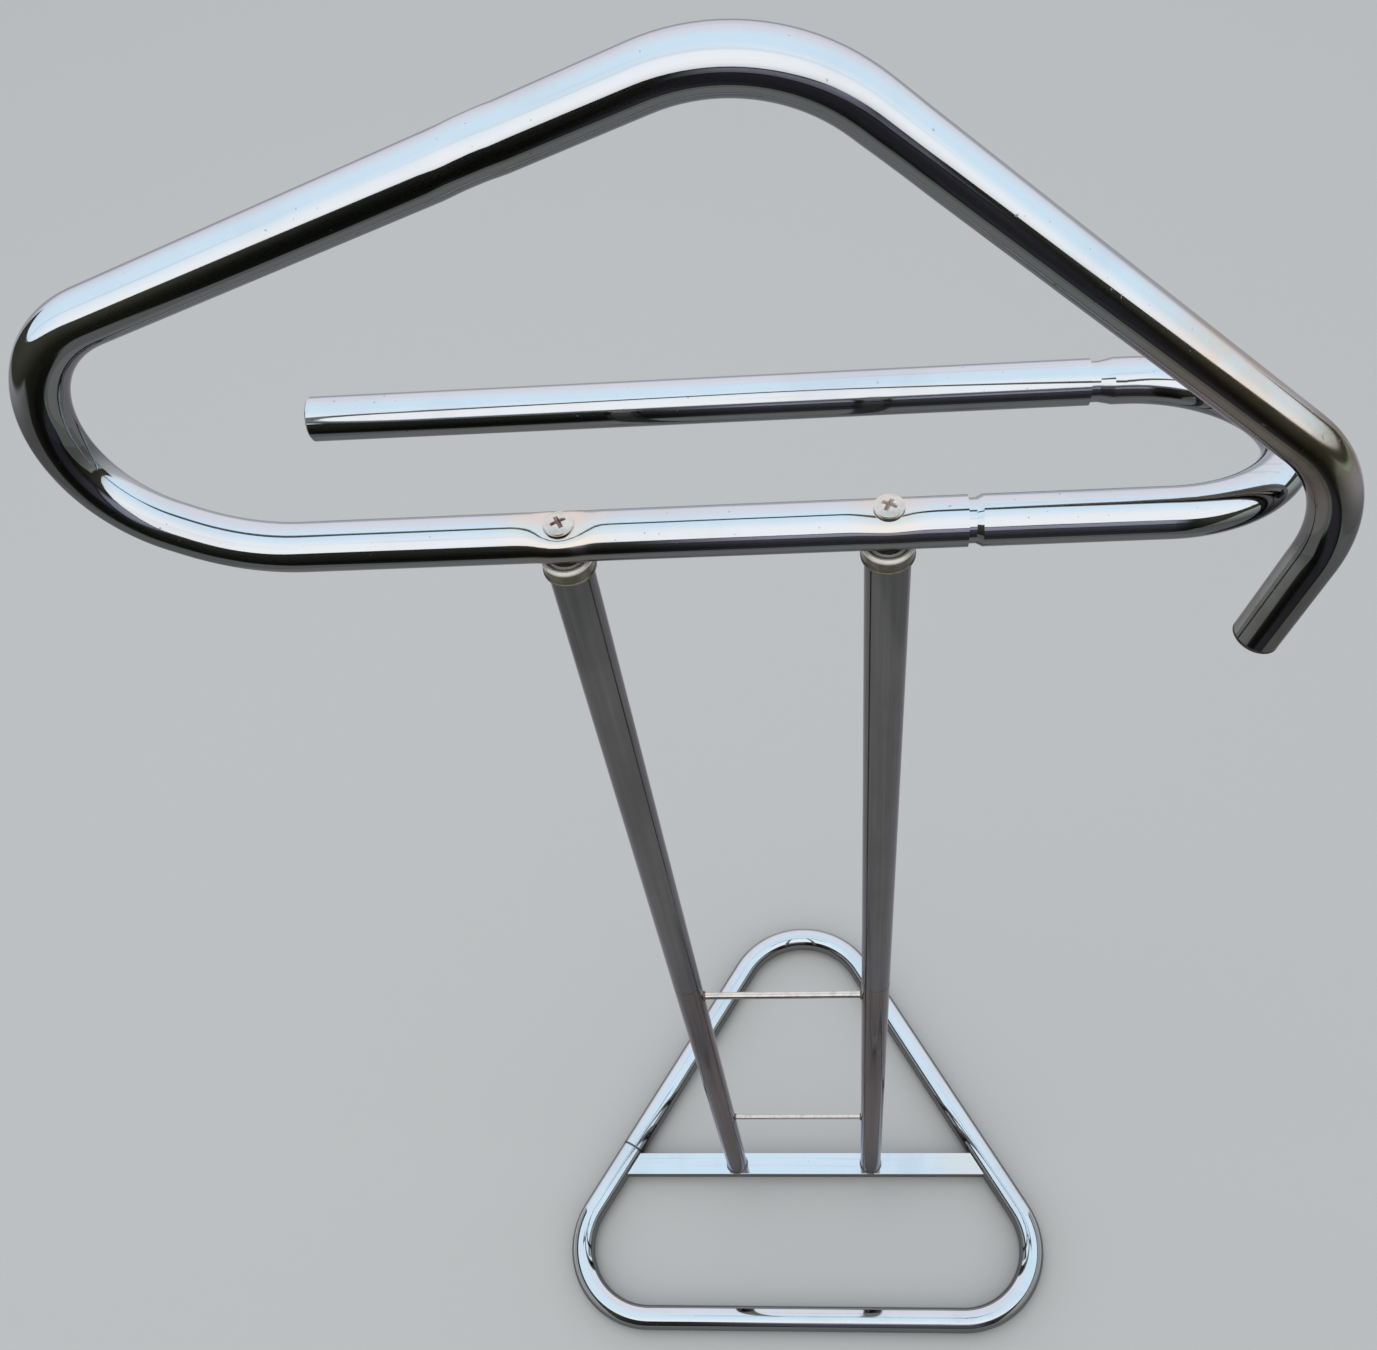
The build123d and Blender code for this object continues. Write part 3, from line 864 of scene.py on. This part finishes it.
class VALET_OT_plate_posts(bpy.types.Operator):
    """Plate both lengths of both posts"""

    bl_idname = "valet.plate_posts"
    bl_label = "Plate the posts"

    def execute(self, context):
        plating = post_plating("post_plate", context.scene.valet_plating)
        for side in ("left", "right"):
            assign(f"{side}_lower_post", plating)
            assign(f"{side}_upper_post", plating)
        return {"FINISHED"}


class VALET_OT_finish_fittings(bpy.types.Operator):
    """Finish the caps, rungs, sleeve, spigots and the hanger's plug"""

    bl_idname = "valet.finish_fittings"
    bl_label = "Finish the fittings"

    def execute(self, context):
        plating = context.scene.valet_plating
        cap = cap_metal("cap_metal", plating)
        rung = rung_nickel("rung_nickel", plating)
        steel = bare_steel("inner_steel")
        for side in ("left", "right"):
            assign(f"{side}_post_cap", cap)
            assign(f"{side}_post_spigot", steel)
        assign("lower_rung", rung)
        assign("upper_rung", rung)
        assign("base_joint_sleeve", steel)
        assign("hanger_end_plug", moulded_plug("black_plug"))
        return {"FINISHED"}


class VALET_OT_turn_screws(bpy.types.Operator):
    """Turn a pan-head screw with a domed head, a cross recess and a shank, and drive in two copies"""

    bl_idname = "valet.turn_screws"
    bl_label = "Turn the screws"

    def execute(self, context):
        scene = context.scene
        shape, tubes, plating = scene.valet_screws, scene.valet_tubes, scene.valet_plating
        left_seat, right_seat = (
            BAR_CREST - dent * SEAT_SHARE for dent in (tubes.left_dent, tubes.right_dent))
        pattern = self.blank("screw_pattern", shape, left_seat - SCREW_TIP)
        for quarter in (0, 90):
            self.cut_slot(pattern, shape, math.radians(quarter))
        modify(
            pattern, "BEVEL", width=BROKEN_EDGE, segments=2, limit_method="ANGLE",
            angle_limit=math.radians(35))
        smooth(pattern, 40)
        # side, seat, turn of the cross, rust in the recess
        driven = (
            ("left", Vector((-POST_X, 0, left_seat)), shape.turn, 0.9),
            ("right", Vector((POST_X, 0, right_seat)), shape.turn + FURTHER_TURN, 0.5),
        )
        for side, seat, turn, rustiness in driven:
            screw = copy_to(pattern, f"{side}_screw", seat, turn)
            crown = seat + Vector((0, 0, shape.head))
            metal = screw_metal(f"{side}_screw_metal", plating, crown, shape, rustiness)
            ready(screw, f"{side}_hanger_screw", metal)
        bpy.data.objects.remove(pattern)
        return {"FINISHED"}

    @staticmethod
    def blank(name, shape, shank):
        """A domed head drawn up in rings from a disc at the origin, and a shank drawn down from it."""
        radius, rim = SCREW_RADIUS, shape.head - shape.crown
        bpy.ops.object.select_all(action="DESELECT")
        bpy.ops.mesh.primitive_circle_add(
            vertices=64, radius=radius, fill_type="NGON", location=(0, 0, 0))
        screw = named(bpy.context.object, name)
        bpy.ops.object.mode_set(mode="EDIT")
        bpy.ops.mesh.select_all(action="SELECT")
        bpy.ops.mesh.extrude_region_move(TRANSFORM_OT_translate={"value": (0, 0, rim)})
        ball, reach = dome_ball(shape.crown), radius
        for ring in DOME_RINGS:
            narrow = radius * ring
            rise = math.sqrt(ball ** 2 - narrow ** 2) - math.sqrt(ball ** 2 - reach ** 2)
            bpy.ops.mesh.inset(thickness=reach - narrow, depth=0)
            bpy.ops.transform.translate(value=(0, 0, rise))
            reach = narrow
        pick(screw, "faces", lambda face: (
            abs(face.normal.z) > 0.9 and abs(face.calc_center_median().z) < 1e-5))
        tip = SHANK_RADIUS / 6
        bpy.ops.mesh.inset(thickness=radius - SHANK_RADIUS, depth=0)
        bpy.ops.mesh.extrude_region_move(TRANSFORM_OT_translate={"value": (0, 0, tip - shank)})
        bpy.ops.mesh.inset(thickness=tip, depth=0)
        bpy.ops.transform.translate(value=(0, 0, -tip))
        bpy.ops.mesh.select_all(action="SELECT")
        bpy.ops.mesh.normals_make_consistent(inside=False)
        bpy.ops.object.mode_set(mode="OBJECT")
        return screw

    @staticmethod
    def cut_slot(screw, shape, turn):
        """Cut one tapered slot of the cross into the head."""
        bpy.ops.object.select_all(action="DESELECT")
        bpy.ops.mesh.primitive_cube_add(
            size=1, location=(0, 0, shape.head + (SLOT_CLEARANCE - shape.recess_depth) / 2),
            rotation=(0, 0, turn),
            scale=(shape.recess_length, shape.recess_width, shape.recess_depth + SLOT_CLEARANCE))
        cutter = bpy.context.object
        settle(cutter)
        bpy.ops.object.mode_set(mode="EDIT")
        pick(cutter, "faces", lambda face: face.normal.z < -0.9)
        bpy.ops.transform.resize(value=(SLOT_TAPER, SLOT_TAPER, 1), center_override=(0, 0, shape.head))
        bpy.ops.object.mode_set(mode="OBJECT")
        modify(screw, "BOOLEAN", object=cutter, operation="DIFFERENCE", solver="EXACT")
        bpy.data.objects.remove(cutter)


class VALET_OT_lay_welds(bpy.types.Operator):
    """Lay weld beads round the rungs' ends and the posts' feet"""

    bl_idname = "valet.lay_welds"
    bl_label = "Lay the welds"

    def execute(self, context):
        welds, plating = context.scene.valet_welds, context.scene.valet_plating
        lumps = bpy.data.textures.new("weld_lumps", "CLOUDS")
        lumps.noise_scale = LUMP_SIZE
        rusty = weld_metal("rusty_bead", plating)
        plated = weld_metal("plated_bead", plating, 0.25)
        upright, across = (0, 0, 0), (0, math.pi / 2, 0)
        for rung in ("lower_rung", "upper_rung"):
            pattern = self.bead("rung_bead_pattern", across, span(rung).z / 2, welds.rung_bead, lumps)
            for side, name in ((-1, "left"), (1, "right")):
                place = (side * (POST_X - POST_RADIUS), 0, middle(rung).z)
                ready(copy_to(pattern, f"{name}_{rung}_weld", place), None, rusty)
            bpy.data.objects.remove(pattern)
        pattern = self.bead("foot_bead_pattern", upright, POST_RADIUS, welds.foot_bead, lumps)
        for side, name in ((-1, "left"), (1, "right")):
            place = (side * POST_X, 0, CROSSBAR_TOP)
            ready(copy_to(pattern, f"{name}_foot_weld", place), None, plated)
        bpy.data.objects.remove(pattern)
        return {"FINISHED"}

    @staticmethod
    def bead(name, turn, radius, size, lumps):
        """A ring of weld at the origin, with a lumpy surface."""
        bpy.ops.object.select_all(action="DESELECT")
        bpy.ops.mesh.primitive_torus_add(
            location=(0, 0, 0), rotation=turn, major_segments=96, minor_segments=16,
            major_radius=radius, minor_radius=size)
        ring = named(bpy.context.object, name)
        settle(ring)
        modify(
            ring, "DISPLACE", texture=lumps, texture_coords="LOCAL", strength=size * LUMP_SHARE,
            mid_level=0.5)
        smooth(ring, 60)
        return ring


class VALET_OT_set_studio(bpy.types.Operator):
    """Lay the floor, hang the light and set up the camera"""

    bl_idname = "valet.set_studio"
    bl_label = "Set the studio"

    def execute(self, context):
        studio = context.scene.valet_studio
        bpy.ops.object.select_all(action="DESELECT")
        bpy.ops.mesh.primitive_plane_add(size=FLOOR_SIZE, location=(0, 0, -FLOOR_GAP))
        floor = context.object
        floor.name = "studio_floor"
        s = Surface("floor_paper")
        grain = s.noise(40, 3, 0.5)
        paper = s.blend(grain * 0.08, tuple(studio.floor), shaded(studio.floor, 0.9))
        matt = s.finish(Base_Color=paper, Roughness=0.85, Specular_IOR_Level=0.0)
        floor.data.materials.append(matt)

        screen = self.screen(studio.screen_height, studio.screen_fall)
        screen.data.materials.append(dark_cloth("dark_cloth"))
        screen.visible_camera = False
        screen.visible_diffuse = False
        screen.visible_shadow = False
        screen.visible_transmission = False

        bpy.ops.object.light_add(type="AREA", location=LAMP_PLACE)
        lamp = context.object
        lamp.data.shape = "DISK"
        lamp.data.size = LAMP_WIDTH
        lamp.data.energy = studio.lamp
        lamp.rotation_euler = LAMP_PLACE.to_track_quat("Z", "Y").to_euler()
        lamp.visible_glossy = False

        context.scene.world = soft_room("soft_room", studio.room_light)

        bpy.ops.object.camera_add(location=studio.eye, rotation=studio.gaze)
        camera = context.object
        camera.data.sensor_width = SENSOR_WIDTH
        camera.data.lens = studio.lens
        camera.data.shift_x, camera.data.shift_y = studio.shift
        camera.data.clip_start = NEAREST_SEEN
        context.scene.camera = camera
        context.scene.view_settings.view_transform = "Standard"
        return {"FINISHED"}

    @staticmethod
    def screen(height, fall):
        """A dark wall and mat round the front of the stand, which only the plating reflects."""
        bpy.ops.object.select_all(action="DESELECT")
        tall = 4
        bpy.ops.mesh.primitive_cylinder_add(
            vertices=96, radius=SCREEN_RADIUS, depth=tall, end_fill_type="NOTHING",
            location=(0, 0, tall / 2))
        wall = named(bpy.context.object, "dark_screen")
        settle(wall)
        bpy.ops.object.mode_set(mode="EDIT")
        left_knee, right_knee = -SCREEN_RADIUS * 0.65, SCREEN_RADIUS * 0.30
        cuts = [
            ((0, 0, height), (0, 0, 1)),
            ((right_knee, 0, height), (fall, 0, 1)),
            ((left_knee, 0, height), (-fall, 0, 1)),
            ((0, SCREEN_REAR, 0), (0, 1, 0)),
        ]
        for point, way in cuts:
            bpy.ops.mesh.select_all(action="SELECT")
            bpy.ops.mesh.bisect(plane_co=point, plane_no=way, clear_outer=True)
        pick(wall, "edges", lambda edge: all(vert.co.z < 0.001 for vert in edge.verts))
        bpy.ops.mesh.extrude_region_move(TRANSFORM_OT_translate={"value": (0, 0, 0)})
        share = MAT_RADIUS / SCREEN_RADIUS
        bpy.ops.transform.resize(value=(share, share, 1), center_override=(0, 0, 0))
        bpy.ops.object.mode_set(mode="OBJECT")
        return wall


class VALET_PT_panel(bpy.types.Panel):
    """Lists the settings and the steps of the valet stand"""

    bl_label = "Valet Stand"
    bl_idname = "VALET_PT_panel"
    bl_space_type = "VIEW_3D"
    bl_region_type = "UI"
    bl_category = "Valet Stand"

    def draw(self, context):
        for name, group in SETTINGS.items():
            for field in group.__annotations__:
                self.layout.prop(getattr(context.scene, name), field)
        for operator in OPERATORS:
            self.layout.operator(operator.bl_idname)


OPERATORS = (
    VALET_OT_bend_hanger,
    VALET_OT_bend_base,
    VALET_OT_plate_bars,
    VALET_OT_plate_posts,
    VALET_OT_finish_fittings,
    VALET_OT_turn_screws,
    VALET_OT_lay_welds,
    VALET_OT_set_studio,
)
CLASSES = (*SETTINGS.values(), *OPERATORS, VALET_PT_panel)


def register():
    for cls in CLASSES:
        bpy.utils.register_class(cls)
    for name, group in SETTINGS.items():
        setattr(bpy.types.Scene, name, PointerProperty(type=group))


def unregister():
    for name in SETTINGS:
        delattr(bpy.types.Scene, name)
    for cls in reversed(CLASSES):
        bpy.utils.unregister_class(cls)


def main():
    register()
    for operator in OPERATORS:
        group, name = operator.bl_idname.split(".")
        getattr(getattr(bpy.ops, group), name)()


if __name__ == "__main__":
    main()
